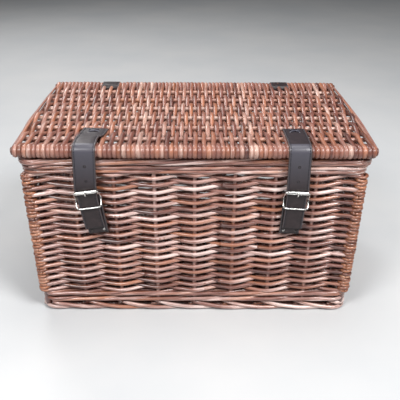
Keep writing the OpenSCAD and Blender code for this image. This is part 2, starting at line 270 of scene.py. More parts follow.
def wander(n, size, length=9):
    """Smooth seeded noise of about the given size, one value per point."""
    knots = rng.normal(0, size, max(3, n // length + 3))
    at = np.linspace(0, len(knots) - 1.001, n)
    i = at.astype(int)
    t = at - i
    t = t * t * (3 - 2 * t)
    return knots[i] * (1 - t) + knots[i + 1] * t


KNOT_RISE = 0.28
KNOT_WIDTH = 0.9


def rod_radius(n, butt, tip, knots=1):
    """Radius along a willow rod: a taper, slight unevenness, and a knot or two."""
    radius = np.linspace(butt, tip, n) + wander(n, 0.05)
    for _ in range(rng.poisson(knots)):
        at = rng.uniform(0, n)
        radius = radius + KNOT_RISE * np.exp(-((np.arange(n) - at) / KNOT_WIDTH) ** 2)
    return radius


def rod_tone(n, middle=0.5, spread=0.16):
    """Shade of one rod, 0 dark to 1 pale, drifting along its length."""
    return np.clip(rng.normal(middle, spread) + wander(n, 0.05, 14), 0, 1)


# ---------- the woven walls ----------

ROW_PITCH = 5.5
STROKE_OUT = 3.5
STROKE_EARLY = 0.06
PER_GAP = 10
# height of a wall rod over one wave: phase 0 in front of an upright, 1 behind the next
WAVE_AT = (-1.0, -0.75, -0.5, 0.0, 0.5, 0.75, 1.0)
WAVE_UP = (0.5, 0.7, -1.1, -2.2, 2.0, 1.7, 0.5)
# more height for the part of a rod that passes behind an upright
WAVE_BACK = {"front": 3.9, "right": 4.6, "rear": 3.9, "left": 4.6}
ROD_EXTRA = {"front": 0.05, "right": 0.25, "rear": 0.35, "left": 0.25}
WALL_BUTT = (2.9, 3.1)
WALL_TIP = (2.6, 2.8)
# how far a new rod and the old one lie side by side, in gaps between uprights
LAP_BEFORE = 0.35
LAP_AFTER = 0.3
# spacing of the front and end stakes along their walls, at the foot
LONG_STAKES = (7, 56.5)
END_STAKES = (4, 56.0)
UPRIGHT_Z = np.linspace(5, RIM_TOP - 4, 20)
UPRIGHT_AXIS = (0.6, 0.8, 0)


def side_point(side, u, z, out):
    """Points on one leaning side: u along it, z up, out from the wall's middle."""
    half_x, half_y = mid(z)
    if side == "front":
        return xyz(u, YC - half_y - out, z)
    if side == "rear":
        return xyz(-u, YC + half_y + out, z)
    if side == "right":
        return xyz(half_x + out, YC + u, z)
    return xyz(-half_x - out, YC - u, z)


def uprights(side, z):
    """Places along a side of its two corner posts and the stakes between them."""
    half_x, half_y = mid(z)
    long = side in ("front", "rear")
    half = half_x if long else half_y
    count, pitch = LONG_STAKES if long else END_STAKES
    shrink = half / mid(0)[0 if long else 1]
    stakes = (np.arange(count) - (count - 1) / 2) * pitch * shrink
    return np.concatenate([[-half], stakes, [half]])


def wall_row(mesh, side, row, parity):
    """One row of randing: over one upright and under the next, in several rods."""
    z0 = WALL_LOW + (row + 0.5) * ROW_PITCH
    at = uprights(side, z0)
    gaps = len(at) - 1
    starts = [0]
    first = int(rng.integers(2, 6))
    while first < gaps - 1:
        starts.append(first)
        first += int(rng.integers(4, 7))
    ends = starts[1:] + [gaps]
    level = wander(gaps * PER_GAP + 1, 0.3, 12)
    for a, b in zip(starts, ends):
        low = a - (LAP_BEFORE if a > 0 else 0.0)
        high = b + (LAP_AFTER if b < gaps else 0.0)
        s = np.linspace(low, high, int((high - low) * PER_GAP) + 1)
        n = len(s)
        phase = np.mod(s + row + parity + 1, 2) - 1
        # nearly straight from the front of one upright to the back of the next
        out = STROKE_OUT * np.arcsin(0.98 * np.cos(PI * (phase - STROKE_EARLY))) + wander(n, 0.2)
        behind = np.clip(2 * np.abs(phase) - 1, 0, 1) * WAVE_BACK[side]
        z = z0 + np.interp(phase, WAVE_AT, WAVE_UP) + behind
        z = z + np.interp(s * PER_GAP, np.arange(len(level)), level)
        z = np.clip(z, WALL_LOW - 1.5, WALL_TOP + 2.5)
        path = side_point(side, np.interp(s, np.arange(len(at)), at), z, out)
        radius = rod_radius(n, rng.uniform(*WALL_BUTT), rng.uniform(*WALL_TIP)) + ROD_EXTRA[side]
        # painted light and shade: paler to the right of the upright, where the rod turns up to the light,
        # and darker to its left, in shade
        painted_light_shade = np.tanh(8 * phase + 0.3) * (np.abs(phase) < 0.65)
        tone = rod_tone(n, 0.56, 0.17) + 0.16 * painted_light_shade
        strand(mesh, smooth_path(path, 1), radius, np.clip(tone, 0, 1), flat=0.97)


def wall(side, parity):
    mesh = Mesh()
    rows = round((WALL_TOP - WALL_LOW) / ROW_PITCH)
    for row in range(rows):
        wall_row(mesh, side, row, parity)
    return mesh


def stake_rods(side):
    mesh = Mesh()
    z = UPRIGHT_Z
    n = len(z)
    for i in range(len(uprights(side, 0.0)) - 2):
        u = np.array([uprights(side, h)[i + 1] for h in z])
        path = side_point(side, u, z, np.zeros(n))
        strand(mesh, path, rod_radius(n, 3.3, 3.0, 2), rod_tone(n, 0.55), UPRIGHT_AXIS)
    return mesh


CORNERS = [(sx, sy) for sx in (-1, 1) for sy in (-1, 1)]
POST_IN = 1.6
POST_R = 4.6
TURN_PITCH = 5.3
TURN_REACH = 7.0


def corner_posts():
    mesh = Mesh()
    z = UPRIGHT_Z
    half_x, half_y = mid(z)
    for sx, sy in CORNERS:
        path = xyz(sx * (half_x - POST_IN), YC + sy * (half_y - POST_IN), z)
        strand(mesh, path, POST_R, rod_tone(len(z), 0.3), UPRIGHT_AXIS, sides=10)
    return mesh


def corner_wraps():
    """Weavers that turn round each corner post, one above the other."""
    mesh = Mesh()
    turns = int((WALL_TOP - WALL_LOW) / TURN_PITCH)
    for sx, sy in CORNERS:
        for k in range(turns):
            a = np.linspace(0, 2 * PI, 17) + rng.uniform(0, 2 * PI)
            tilt = rng.normal(0.9, 0.5) * (1 if k % 2 else -1)
            z = WALL_LOW + (k + 0.3) * TURN_PITCH + tilt * np.cos(a) + rng.normal(0, 0.3)
            half_x, half_y = mid(z)
            reach = TURN_REACH + rng.normal(0, 0.25)
            path = xyz(sx * half_x + reach * np.cos(a), YC + sy * half_y + reach * np.sin(a), z)
            strand(mesh, path, rng.uniform(2.3, 2.75), rod_tone(len(a), 0.42, 0.16))
    return mesh


# ---------- bands that go right round ----------

BAND_STROKES = 27
CORNER_R = 5.0
CORNER_SPREAD = 14.0
CORNER_Z = 20.0
WALE_RUN = 6


def round_post(s, out, reach):
    """Pushes a band rod outside each corner post, or inside if it already lies there."""
    # the corners lie at nearly the same share of the way round at any height
    half_x, half_y = mid(CORNER_Z)
    total = 4 * (half_x + half_y)
    d = np.mod(s / BAND_STROKES, 1) * total
    near = np.zeros_like(d)
    for corner in (0, 2 * half_x, 2 * (half_x + half_y), total - 2 * half_y, total):
        near = np.maximum(near, np.exp(-((d - corner) / CORNER_SPREAD) ** 4))
    target = np.where(out > -2.0, reach, -reach)
    return out * (1 - near) + target * near


def band_point(s, z, out):
    """Points round the basket: s counts strokes from the front left corner."""
    half_x, half_y = mid(z)
    long, deep = half_x - CORNER_R, half_y - CORNER_R
    arc = CORNER_R * PI / 2
    total = 4 * (long + deep) + 4 * arc
    d = np.mod(s / BAND_STROKES, 1) * total
    x, y, nx, ny, edge = (np.zeros_like(d) for _ in range(5))
    # each side: the way it faces, half its straight part, and its distance from the middle
    sides = [(0, -1, long, deep), (1, 0, deep, long), (0, 1, long, deep), (-1, 0, deep, long)]
    for ox, oy, run, away in sides:
        ax, ay = -oy, ox
        here = (d >= edge) & (d < edge + 2 * run + arc)
        t = np.clip(d - edge - run, -run, run)
        turn = np.clip((d - edge - 2 * run) / CORNER_R, 0, PI / 2)
        rx = ox * np.cos(turn) + ax * np.sin(turn)
        ry = oy * np.cos(turn) + ay * np.sin(turn)
        x = np.where(here, ox * away + ax * t + CORNER_R * rx, x)
        y = np.where(here, oy * away + ay * t + CORNER_R * ry, y)
        nx, ny = np.where(here, rx, nx), np.where(here, ry, ny)
        edge = edge + 2 * run + arc
    return xyz(x + nx * out, YC + y + ny * out, z)


def wale_row(mesh, z0, rise, out, butt, start, corner):
    """One row of three-rod waling: each rod is over two uprights and under one."""
    per = 8
    for k in range(3):
        first = k + start + 2.5
        cuts = np.arange(first, first + BAND_STROKES + 0.1, WALE_RUN)
        cuts[-1] = cuts[0] + BAND_STROKES
        for a, b in zip(cuts[:-1], cuts[1:]):
            s = np.linspace(a - 0.25, b + 0.25, int((b - a + 0.5) * per) + 1)
            p = np.mod((s - k - start) / 3, 1)
            reach = out * np.tanh(2.2 * np.cos(2 * PI * (p - 1 / 3)) + 0.75)
            lift = np.where(p < 2 / 3, -1 + 3 * p, 1 - 6 * (p - 2 / 3))
            z = z0 + rise * lift + wander(len(s), 0.2)
            reach = round_post(s, np.maximum(reach + wander(len(s), 0.15), -4.5), corner)
            path = smooth_path(band_point(s, z, reach))
            radius = rod_radius(len(s), butt + rng.normal(0, 0.1), butt - 0.3)
            strand(mesh, path, radius, rod_tone(len(s), 0.62))


def bottom_wale():
    mesh = Mesh()
    low, high = bottom("bottom_wale"), top("bottom_wale")
    step = (high - low) / 2
    for row in range(2):
        wale_row(mesh, low + (row + 0.5) * step, 2.2, 4.9, 2.95, 1.4 * row, 6.2)
    return mesh


def top_wale():
    mesh = Mesh()
    low, high = bottom("top_wale"), top("top_wale")
    for row in range(2):
        z = low + 1.3 + row * (high - low) / 2
        wale_row(mesh, z, 1.6, 5.0, 2.75, 0.7 + 1.6 * row, 7.0 + 1.5 * row)
    return mesh


def bordered(mesh, spread, heights, outs, radius, tone, reach):
    """Border rods: one from each upright, lying over its neighbours to the right."""
    per = 9
    for i in range(BAND_STROKES):
        s = np.linspace(spread[0], spread[-1], int((spread[-1] - spread[0]) * per) + 1)
        z = np.interp(s, spread, heights) + rng.normal(0, 0.25)
        out = np.interp(s, spread, outs) + rng.normal(0, 0.2)
        at = s + i + rng.normal(0, 0.05)
        path = band_point(at, z + wander(len(s), 0.15), round_post(at, out, reach))
        path = smooth_path(path, 3)
        size = rod_radius(len(s), radius + rng.normal(0, 0.12), radius - 0.45)
        strand(mesh, path, size, rod_tone(len(s), tone), sides=10)


def rim_border():
    mesh = Mesh()
    spread = (-0.15, 0.1, 0.45, 1.1, 2.0, 2.8, 3.25)
    heights = (-4.5, -1.2, 1.4, 3.4, 6.6, 9.3, 8.8)
    outs = (-3.5, 0.5, 5.2, 6.8, 6.4, 2.6, -2.5)
    bordered(mesh, spread, RIM_LOW + np.array(heights), outs, 3.0, 0.62, 14.5)
    inner = (-0.1, 0.3, 1.2, 2.2, 2.6)
    bordered(mesh, inner, RIM_LOW + np.array((1.0, 3.5, 5.0, 7.0, 7.5)),
             (1.0, -4.0, -6.2, -5.6, -1.5), 2.9, 0.45, 4.5)
    return mesh


def foot_border():
    mesh = Mesh()
    spread = (-0.05, 0.12, 0.45, 1.0, 1.5, 1.85)
    heights = (12.0, 11.4, 8.4, 4.4, 3.2, 3.2)
    outs = (-4.0, 1.5, 5.6, 6.4, 4.4, 0.0)
    bordered(mesh, spread, heights, outs, 3.15, 0.72, 7.5)
    inner = (-0.1, 0.4, 1.2, 2.0)
    bordered(mesh, inner, (6.0, 4.4, 3.2, 3.2), (-1.0, -5.5, -6.3, -4.0), 2.9, 0.3, 4.5)
    return mesh


# ---------- base ----------

BASE_STICKS = 7
BASE_PITCH = 7.4
BASE_WAVE = 4.6


def base_parts():
    """Weave and sticks of the base; both stand above the foot."""
    (_, y0, _), (half_x, y1, _) = box("base_weave")
    z = centre("base_weave")[2]
    sticks, weave = Mesh(), Mesh()
    ys = np.linspace(y0 + 20, y1 - 20, BASE_STICKS)
    for y in ys:
        x = np.linspace(-half_x + 1, half_x - 1, 24)
        path = xyz(x, y, z)
        strand(sticks, path, rod_radius(24, 4.4, 4.0, 2), rod_tone(24, 0.5))
    count = int(2 * (half_x - 4) / BASE_PITCH)
    stops = np.concatenate([[y0 + 3], ys, [y1 - 3]])
    for i in range(count):
        s = np.linspace(0, len(stops) - 1, 33)
        y = np.interp(s, np.arange(len(stops)), stops)
        up = BASE_WAVE * np.cos(PI * (s + i))
        x = (i - (count - 1) / 2) * BASE_PITCH + wander(33, 0.3)
        path = xyz(x, y, z + up)
        strand(weave, path, rod_radius(33, 3.3, 2.9), rod_tone(33, 0.42), (1, 0, 0), sides=6)
    return weave, sticks


# ---------- lid ----------

LID_WEAVERS = 77
CROSS_STICKS = 6
STICK_PITCH = 46.0
WRAP_R = 5.7
WRAP_SWELL = 0.9
LID_WAVE = 5.1
LID_WEAVE_END = 7.6
STRAP_CLEAR = 19.0
COIL_TURNS = 2.2


def lid_weaver(mesh, i):
    """One rod from front to rear: round the front rod, over and under, round the rear rod."""
    half = LID_HALF_X - LID_WEAVE_END
    pitch = 2 * half / (LID_WEAVERS - 1)
    x0 = (i - (LID_WEAVERS - 1) / 2) * pitch
    depth = 2 * ROD_Y
    turn = np.linspace(-0.5 * PI, 0.5 * PI, 9)
    # the wrapped edge swells, but not under a strap nor at the lid's ends
    from_strap = min(abs(x0 - at) for at in STRAP_AT.values())
    swell = WRAP_SWELL * np.clip((from_strap - STRAP_CLEAR) / 8, 0, 1)
    swell = swell * np.clip((LID_HALF_X - abs(x0)) / 25, 0, 1)
    front_y = -(WRAP_R + swell) * np.cos(turn)
    front_z = (WRAP_R + swell) * np.sin(turn)
    lead = np.array([16.0, 9.0])
    lead_z = np.array([-WRAP_R + 2.6, -WRAP_R + 0.6])
    sticks = range(1, CROSS_STICKS + 1)
    stops = [0.0, *(STICK_PITCH * j for j in sticks), depth]
    waves = [WRAP_R, *(LID_WAVE * (1 if (i + j) % 2 else -1) for j in sticks), WRAP_R]
    span_y, span_z = [], []
    for a, b, za, zb in zip(stops[:-1], stops[1:], waves[:-1], waves[1:]):
        t = np.arange(1, 9) / 8
        ease = (1 - np.cos(PI * t)) / 2
        sag = 0.0 if za * zb < 0 else -0.8 * np.sin(PI * t)
        span_y.append(a + (b - a) * t)
        span_z.append(za + (zb - za) * ease + sag)
    span_y, span_z = np.concatenate(span_y)[:-1], np.concatenate(span_z)[:-1]
    y = np.concatenate([lead, front_y, span_y, depth - front_y[::-1], depth - lead[::-1]])
    z = np.concatenate([lead_z, front_z, span_z, front_z[::-1], lead_z[::-1]])
    n = len(y)
    drift = wander(n, 0.55, 10)
    fade = np.clip(np.minimum(y, depth - y) / 30, 0.15, 1)
    x = x0 + drift * fade
    path = xyz(x, YC - ROD_Y + y, LID_Z + z)
    ends = (3.45, 3.05) if rng.random() < 0.5 else (3.1, 3.4)
    at_edge = np.clip(1 - np.minimum(y, depth - y) / 9, 0, 1)
    tone = np.clip(rod_tone(n, 0.5, 0.2) + 0.06 * at_edge, 0, 1)
    strand(mesh, path, rod_radius(n, *ends), tone, (1, 0, 0), flat=1.06 + 0.12 * at_edge)


def lid_weave():
    mesh = Mesh()
    for i in range(LID_WEAVERS):
        lid_weaver(mesh, i)
    return mesh


def cross_rod(mesh, y, half, radius, tone, bow=0.0):
    x = np.linspace(-half, half, 40)
    curve = bow * (1 - (x / half) ** 2)
    path = xyz(x, y + wander(40, 0.3), LID_Z + curve)
    strand(mesh, path, rod_radius(40, radius, radius - 0.3, 3), rod_tone(40, tone))


def lid_sticks():
    mesh = Mesh()
    for j in range(1, CROSS_STICKS + 1):
        cross_rod(mesh, YC - ROD_Y + j * STICK_PITCH, LID_HALF_X - 8.0, 3.9, 0.9)
    return mesh


def edge_rod(y):
    """A rod under the wrapped edge, with a small binding coil at each end."""
    mesh = Mesh()
    cross_rod(mesh, y, LID_HALF_X - 3.0, 3.4, 0.4)
    for side in (-1, 1):
        t = np.linspace(0, 1, 41)
        a = 2 * PI * COIL_TURNS * t
        x = side * (LID_HALF_X - 1.9 - 5.4 * t)
        reach = 3.9 + 0.7 * t
        path = xyz(x, y + reach * np.cos(a), LID_Z + reach * np.sin(a))
        strand(mesh, path, 1.7, rod_tone(len(t), 0.2), (1, 0, 0))
    return mesh


# each end rod: distance from the middle, height, outward bow, radius and shade
END_RODS = ((252.6, 1.0, 3.4, 2.2, 0.75), (249.8, 3.8, 1.6, 2.1, 0.66), (250.6, -4.0, 2.0, 2.4, 0.5))


def lid_side_rods():
    """Loose rods that close the two ends of the lid."""
    mesh = Mesh()
    y = np.linspace(-ROD_Y + 5, ROD_Y - 5, 34)
    bow = 1 - (y / ROD_Y) ** 2
    for side in (-1, 1):
        for x0, z0, swell, radius, shade in END_RODS:
            x = side * (x0 + swell * bow + wander(34, 0.45))
            z = LID_Z + z0 + wander(34, 0.4) + 0.8 * bow
            path = xyz(x, YC + y, z)
            size = rod_radius(34, radius, radius - 0.4, 2)
            strand(mesh, path, size, rod_tone(34, shade, 0.08))
    return mesh


# ---------- places on the straps and buckles ----------


def strap_place(side, across, along, out):
    """Points in the hanging strap's frame: its origin is the axis of the front rod."""
    c, s = math.cos(STRAP_LEAN), math.sin(STRAP_LEAN)
    y = -out * c - along * s
    z = -out * s + along * c
    return xyz(STRAP_AT[side] + across, YC - ROD_Y + y, LID_Z + z)


def buckle_place(side, across, up, out, lean=0.0):
    """Points in the buckle's frame: its origin is the middle of the centre bar."""
    turn = BUCKLE_TURN[side]
    x = across * math.cos(turn) + up * math.sin(turn)
    z = -across * math.sin(turn) + up * math.cos(turn)
    y = -out * math.cos(lean) - z * math.sin(lean)
    z = -out * math.sin(lean) + z * math.cos(lean)
    return strap_place(side, x, z - BUCKLE_DROP, BAR_IN - y)


# ---------- leather ----------


# the face of a strip, from edge to edge in widths, and its height in thicknesses
FACE_ACROSS = np.array([-.5, -.495, -.47, -.44, -.405, -.37, -.2, 0, .2, .37, .405, .44, .47, .495, .5])
FACE_HEIGHT = np.array([.3, .44, .5, .5, .40, .5, .53, .54, .53, .5, .40, .5, .5, .44, .3])
BACK_HEIGHT = np.array([.3, .5, .5, .5, .5, .5, .5, .3])
# tones of leather: plain, added where it is worn, added for a painted sheen where light reflects over the
# strap's bend
HIDE_TONE = 0.5
WORN = 0.45
BEND_SHEEN = 0.18
TAB_LEN = 62.0
TAIL_LEN = 48.0
TAB_SKEW = {-1: math.radians(8.0), 1: math.radians(-1.5)}
TAB_WIDEN = {-1: 5.0, 1: 0.5}
TAIL_SKEW = {-1: math.radians(-2.0), 1: math.radians(1.0)}


def belt(mesh, path, normal, side, widths, thickness, tone=HIDE_TONE, closed=False):
    """A leather strip: its section has rounded edges and a shallow sewing groove."""
    n = len(path)
    widths = per_point(widths, n)[:, None]
    u = np.concatenate([FACE_ACROSS, FACE_ACROSS[::-2]])
    v = np.concatenate([FACE_HEIGHT, -BACK_HEIGHT])
    worn = np.concatenate([np.abs(FACE_ACROSS) > 0.468, np.ones(len(BACK_HEIGHT), bool)])
    rings = path[:, None] + side[:, None] * (u * widths)[:, :, None]
    rings = rings + normal[:, None] * (v * thickness)[:, None]
    lay = xyz(u * widths / 10, v * thickness / 10, distance_along(path)[:, None] / 10)
    tones = per_point(tone, n)[:, None] + np.where(worn, WORN, 0.0)
    mesh.tube(path, rings, tones, lay, closed, True)


def stitches(mesh, path, normal, side, widths, thickness, first, last, inset=3.0, pitch=3.6):
    """A row of short waxed stitches along each edge of a strip."""
    along = distance_along(path)
    widths = per_point(widths, len(path))
    for s in np.arange(first, min(last, along[-1] - 2), pitch):
        ends = np.linspace(s, s + 0.72 * pitch, 5)
        at, up, out = (np.stack([np.interp(ends, along, rows[:, i]) for i in range(3)], 1)
                       for rows in (path, normal, side))
        wide = np.interp(ends, along, widths)[:, None]
        arch = (thickness * 0.44 + 0.32 * np.sin(PI * np.arange(5) / 4))[:, None]
        for edge in (-1, 1):
            line = at + out * edge * (wide / 2 - inset) + up * arch
            strand(mesh, line, 0.42, 0.02, up[2], sides=5)


def strap(side):
    """Tab on the lid, bend over the front edge, hanging part, and tail through the buckle."""
    step = 2.0
    middle = BEND_R + STRAP_T / 2
    tab = np.arange(TAB_LEN, 0.5, -step)
    bend = np.linspace(0.5 * PI - STRAP_LEAN, PI, 15)
    hang = np.arange(step, BUCKLE_DROP + TAIL_LEN + 0.1, step)
    # the tab, in the frame of the level lid: x across, y back from the rod, z up
    slant = np.clip(tab - 22, 0, None) * math.tan(TAB_SKEW[side])
    widen = np.clip((tab - 34) / 6, 0, 1) * TAB_WIDEN[side]
    lift = 0.35 * np.sin(PI * np.clip(tab / 40, 0, 1))
    tab_path = xyz(STRAP_AT[side] + slant + widen / 2, YC - ROD_Y + tab, LID_Z + middle + lift)
    bend_path = strap_place(side, 0, middle * np.sin(bend), -middle * np.cos(bend))
    # the heading turns towards the buckle's own turn just above it
    ease = np.clip((hang - 46) / 22, 0, 1)
    ease = ease * ease * (3 - 2 * ease)
    head = BUCKLE_TURN[side] * ease + TAIL_SKEW[side] * np.clip((hang - 84) / 30, 0, 1)
    shift = -np.cumsum(np.sin(head)) * step
    shift = shift - np.interp(BUCKLE_DROP, hang, shift) * np.clip(hang / 50, 0, 1)
    bulge = 0.25 * np.exp(-((hang - BUCKLE_DROP) / 8) ** 2)
    tuck = np.clip((hang - BUCKLE_DROP - 20) / 28, 0, 1) * -0.5
    hang_path = strap_place(side, shift, -hang, middle + bulge + tuck)
    path = np.concatenate([tab_path, bend_path, hang_path])
    flat = np.ones(len(bend))
    narrow = 3.0 * np.clip((hang - 58) / 10, 0, 1)
    widths = np.concatenate([STRAP_W + widen, STRAP_W * flat, STRAP_W - narrow])
    # a painted sheen, a pale reflection of light over the bend, fading down to the buckle
    painted_sheen = np.concatenate([np.full(len(tab), 0.03), BEND_SHEEN * flat, BEND_SHEEN * np.clip(1 - hang / 58, 0, 1)])
    ahead = tangents(path)
    across = np.tile([1.0, 0, 0], (len(path), 1))
    across = unit(across - (across * ahead).sum(1)[:, None] * ahead)
    normal = np.cross(across, ahead)
    normal = -normal if normal[0][2] < 0 else normal
    mesh = Mesh()
    belt(mesh, path, normal, across, widths, STRAP_T, HIDE_TONE + painted_sheen)
    stitches(mesh, path, normal, across, widths, STRAP_T, 3.0, distance_along(path)[-1] - 2)
    return mesh


HOLE_DROPS = (18.0, 41.0)
HOLE_R = 1.9


def punched_rings(side):
    """The punched holes, as shallow cups in the strap's face: a ring at the edge, and smaller rings dark
    with painted shade for the hole's depth.
    """
    mesh = Mesh()
    face = BEND_R + STRAP_T
    a = np.linspace(0, 2 * PI, 25)[:-1]
    for drop in HOLE_DROPS:
        path = strap_place(side, HOLE_R * np.cos(a), -drop + HOLE_R * np.sin(a), face - 0.05)
        strand(mesh, path, 0.42, 0.3, (0, -1, 0), sides=6, closed=True)
        # painted shade: the inner rings take the darkest tone, for the shadowed depth of the hole
        for k in range(1, 4):
            r = HOLE_R - 0.5 * k
            ring = strap_place(side, r * np.cos(a), -drop + r * np.sin(a), face - 0.06)
            strand(mesh, ring, 0.3, 0.0, (0, -1, 0), sides=5, closed=True)
    return mesh


CHAPE_LEAN = FACE_TILT - STRAP_LEAN
CHAPE_LEN = 60.0
CHAPE_SHIFT = 3.0


def out_of_wall(side):
    """Unit direction straight out from a chape's face."""
    return buckle_place(side, 0, 0, 1.0, CHAPE_LEAN) - buckle_place(side, 0, 0, 0.0, CHAPE_LEAN)


def chape(side):
    """Short leather strip folded over the buckle's bar and riveted to the wall."""
    shift = -side * CHAPE_SHIFT
    t = CHAPE_T
    low_front = -(FOLD_R + t) + 2 * t + 0.1 - t / 2
    back = np.arange(-CHAPE_LEN, 0, 3.0)
    arc = np.linspace(0, PI, 13)
    front = np.arange(-1.0, -CHAPE_LEN - 0.1, -3.0)
    r = FOLD_R + t / 2
    settle = np.clip(1 + front / 14, 0, 1) ** 2
    outs = np.concatenate([np.full(len(back), -r), -r * np.cos(arc), low_front + (r - low_front) * settle])
    ups = np.concatenate([back, r * np.sin(arc), front])
    path = buckle_place(side, shift, ups, outs, CHAPE_LEAN)
    across = buckle_place(side, shift + 1.0, ups, outs, CHAPE_LEAN) - path
    normal = unit(np.cross(across, tangents(path)))
    if normal[-1] @ out_of_wall(side) < 0:
        normal = -normal
    mesh = Mesh()
    belt(mesh, path, normal, across, CHAPE_W, t * 0.97)
    ply = len(back) + len(arc)
    stitches(mesh, path[ply:], normal[ply:], across[ply:], CHAPE_W, t, 3.0, CHAPE_LEN - 3, 2.6)
    return mesh


def lathe(mesh, origin, axis, profile, tone, sides=20):
    """Turns a profile of (radius, height) pairs about an axis."""
    axis = np.asarray(axis, float) / np.linalg.norm(axis)
    helper = np.array([1.0, 0, 0]) if abs(axis[0]) < 0.8 else np.array([0, 0, 1.0])
    u = np.cross(axis, helper)
    u /= np.linalg.norm(u)
    v = np.cross(axis, u)
    profile = np.asarray(profile, float)
    a = np.arange(sides) * 2 * PI / sides
    ring = np.cos(a)[:, None] * u + np.sin(a)[:, None] * v
    points = origin + profile[:, 0, None, None] * ring + (profile[:, 1, None] * axis)[:, None]
    reach, height = profile[:, :1], profile[:, 1:]
    lay = xyz(reach * np.cos(a) / 10, reach * np.sin(a) / 10, height / 10 + mesh.strands)
    mesh.strands += 1
    mesh.add(points, quads(len(profile), sides)[:, ::-1], np.full(len(profile) * sides, tone), lay)


RIVET_X = 9.0
RIVET_DROP = 54.0


def chape_rivets():
    """Rivets with a domed head on the chape and a washer inside the wall."""
    mesh = Mesh()
    # radius and height out from the chape: head, shank, washer, burr
    profile = [(0.01, 0.8), (0.7, 0.75), (1.3, 0.6), (1.8, 0.3), (2.0, 0.1), (2.0, 0.0), (1.4, -0.05),
               (1.4, -19.2), (4.9, -19.2), (5.0, -19.5), (5.0, -20.0), (4.6, -20.3), (1.6, -20.4),
               (1.2, -20.8), (0.01, -20.9)]
    for side in (-1, 1):
        for x in (-RIVET_X, RIVET_X):
            origin = buckle_place(side, x - side * CHAPE_SHIFT, -RIVET_DROP, 0.6, CHAPE_LEAN)
            # the rivets are darkened, the outer one most: painted shade, since only the inner one catches
            # the light
            lathe(mesh, origin, out_of_wall(side), profile, 0.2 if x * side < 0 else 0.0)
    return mesh


# how far the loop has settled into the lid's weave
LOOP_SETTLE = 2.4


def hinge_loop(side):
    """A band of leather through the lid and under the rear of the rim."""
    (_, y0, z0), (_, y1, z1) = box("hinge_loop_left" if side < 0 else "hinge_loop_right")
    z1 = z1 - LOOP_SETTLE
    hy, hz = (y1 - y0 - LOOP_T) / 2, (z1 - z0 - LOOP_T) / 2
    r = 5.0
    a = np.linspace(0, PI / 2, 7)
    corners = []
    for sy, sz, start in ((1, 1, 0), (-1, 1, 1), (-1, -1, 2), (1, -1, 3)):
        turn = a + start * PI / 2
        corners.append(np.stack([sy * (hy - r) + r * np.cos(turn), sz * (hz - r) + r * np.sin(turn)], 1))
    ring = np.concatenate(corners)
    filled = []
    for p, q in zip(ring, np.roll(ring, -1, 0)):
        count = max(1, int(np.linalg.norm(q - p) / 2.5))
        filled.append(p + (q - p) * (np.arange(count) / count)[:, None])
    ring = np.concatenate(filled)
    n = len(ring)
    path = xyz(side * LOOP_X, (y0 + y1) / 2 + ring[:, 0], (z0 + z1) / 2 + ring[:, 1])
    across = np.tile([1.0, 0, 0], (n, 1))
    normal = np.cross(across, tangents(path, True))
    if normal[0] @ (path[0] - path.mean(0)) < 0:
        normal = -normal
    mesh = Mesh()
    belt(mesh, path, normal, across, LOOP_W, LOOP_T, closed=True)
    return mesh


CROSS_SHIFT = {-1: 6.2, 1: -0.5}
CROSS_BACK = 50.0
CROSS_HALF = 9.5


def tab_stitches():
    """A slack cross of waxed thread on each tab, its ends down through the lid."""
    mesh = Mesh()
    z = LID_Z + BEND_R + STRAP_T
    for side in (-1, 1):
        x0 = STRAP_AT[side] + CROSS_SHIFT[side]
        y0 = YC - ROD_Y + CROSS_BACK
        # the second thread of the cross rides over the first
        for angle, hump in ((0.45, 0.0), (-0.62, 0.55)):
            t = np.linspace(-1, 1, 19)
            a = angle + TAB_SKEW[side]
            arch = 0.65 + 0.35 * (1 - t ** 2) + hump * np.exp(-(t / 0.25) ** 2)
            arch = np.where(np.abs(t) > 0.93, -1.6, arch)
            bow = 0.7 * np.sin(2.4 * t + side)
            path = xyz(x0 + CROSS_HALF * t * math.cos(a) - bow * math.sin(a),
                       y0 + CROSS_HALF * t * math.sin(a) + bow * math.cos(a), z + arch)
            strand(mesh, smooth_path(path, 1), 0.8, 0.3, (0, 0, 1), sides=7)
    return mesh


# ---------- buckles ----------

ROLLER_UP = 13.0
ROLLER_OUT = STRAP_FRONT + 0.3 + 2.9
KEEPER_DOWN = 13.0
KEEPER_OUT = STRAP_FRONT + 1.8 + 1.3
TOP_HALF = 17.3
LOW_HALF = 17.9
FRAME_R = 1.02
BAR_R = 1.2


def rounded_loop(points, passes=3):
    """Chaikin's corner cutting on a closed outline."""
    p = np.asarray(points, float)
    for _ in range(passes):
        q = np.roll(p, -1, 0)
        p = np.stack([0.75 * p + 0.25 * q, 0.25 * p + 0.75 * q], 1).reshape(-1, 3)
    return p


